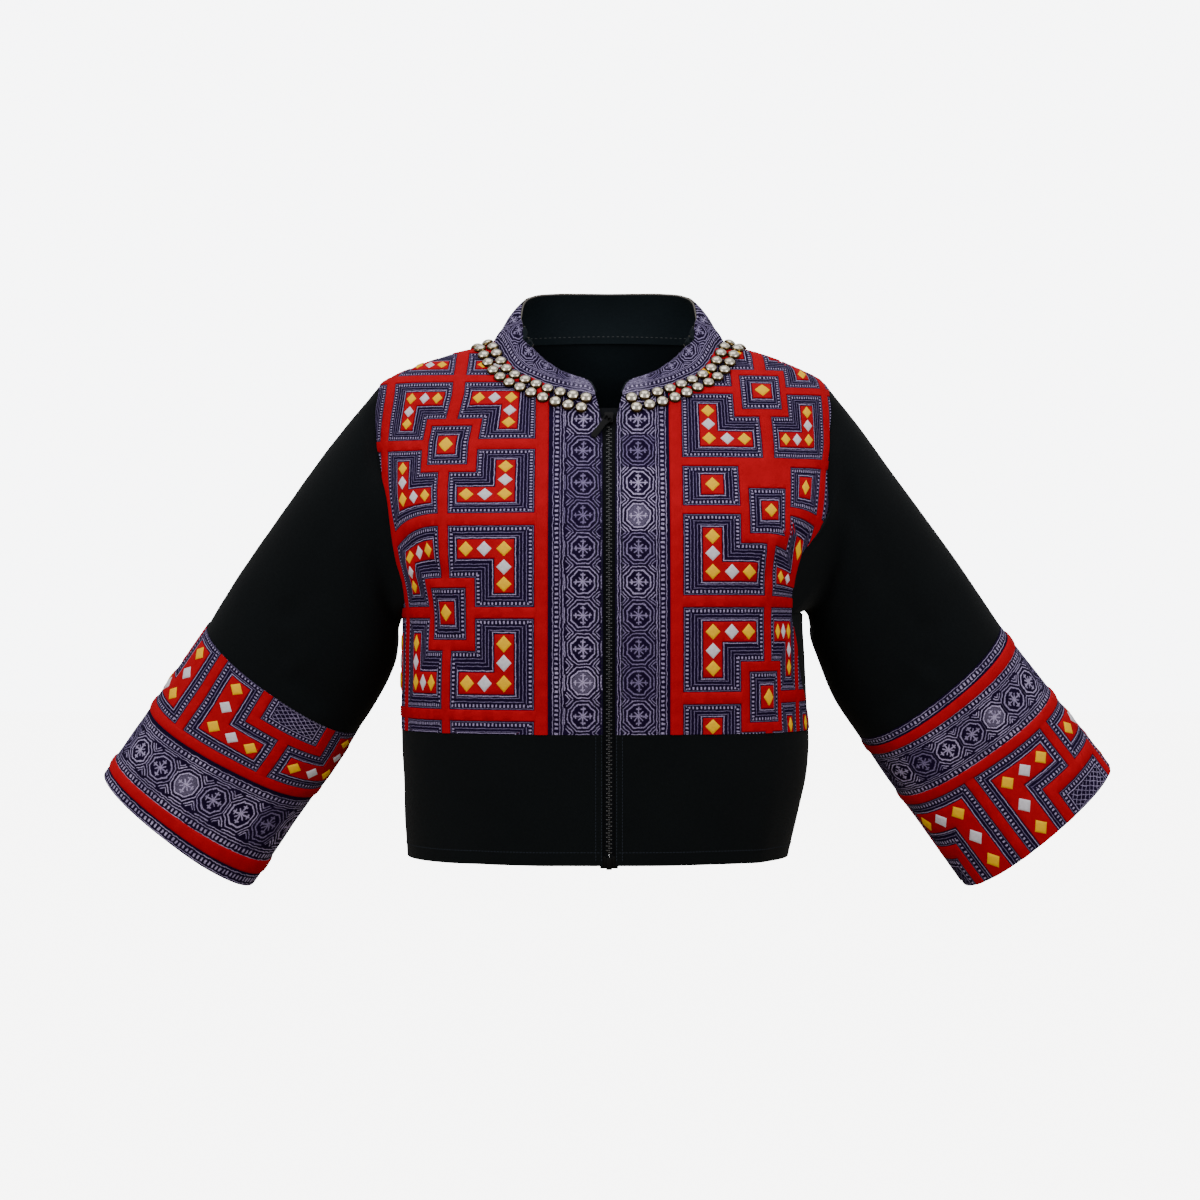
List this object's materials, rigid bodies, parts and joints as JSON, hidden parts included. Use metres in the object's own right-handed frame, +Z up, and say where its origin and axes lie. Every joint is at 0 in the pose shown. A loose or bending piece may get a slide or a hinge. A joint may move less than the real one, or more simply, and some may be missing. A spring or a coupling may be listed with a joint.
{
  "type": "hmong embroidered jacket",
  "caption": "Cropped, zipped jacket with stand collar, wide sleeves, batik front bands, red applique panels and cuffs, and rows of domed studs round the neck.",
  "frame": {"origin": "on the centre line, midway between the two points where the shoulder seams meet the neck", "axes": "+X to the wearer's left, -Y out of the front, +Z up towards the collar"},
  "size_m": [0.9399, 0.2477, 0.5562],
  "materials": {
    "black_cloth": "matt black cotton",
    "collar_cloth": "matt navy-black cotton",
    "batik": "indigo wax-resist batik",
    "patchwork": "batik with red applique and small stitched diamonds",
    "red_tape": "red cotton strip",
    "zip_cloth": "woven black zip tape",
    "zip_plastic": "moulded black plastic",
    "stud_metal": "bright domed studs"
  },
  "bodies": {
    "jacket": {"back_panel": "black_cloth", "collar_back": "collar_cloth", "collar_facing": "collar_cloth", "collar_front_left": "batik", "collar_front_right": "batik", "cuff_left": "patchwork", "cuff_right": "patchwork", "cuff_strip_left_1": "red_tape", "cuff_strip_left_2": "red_tape", "cuff_strip_right_1": "red_tape", "cuff_strip_right_2": "red_tape", "front_band_left": "batik", "front_band_right": "batik", "front_panel_left": "patchwork", "front_panel_right": "patchwork", "red_tape_left": "red_tape", "red_tape_right": "red_tape", "sleeve_left": "black_cloth", "sleeve_right": "black_cloth", "stud_row_lower": "stud_metal", "stud_row_upper": "stud_metal", "waist_band_left": "black_cloth", "waist_band_right": "black_cloth", "zip_box": "zip_plastic", "zip_chain": "zip_plastic", "zip_slider": "zip_plastic", "zip_tape_left": "zip_cloth", "zip_tape_right": "zip_cloth"},
    "zip_pull": {"zip_pull": "zip_plastic"}
  },
  "joints": [
    {"name": "zip_pull_hinge", "type": "hinge", "parent": "jacket", "child": "zip_pull", "pos_m": [0, -0.0801, -0.07191], "axis": [-0.829, 0.2702, 0.4896], "range_deg": [0, 150]}
  ]
}
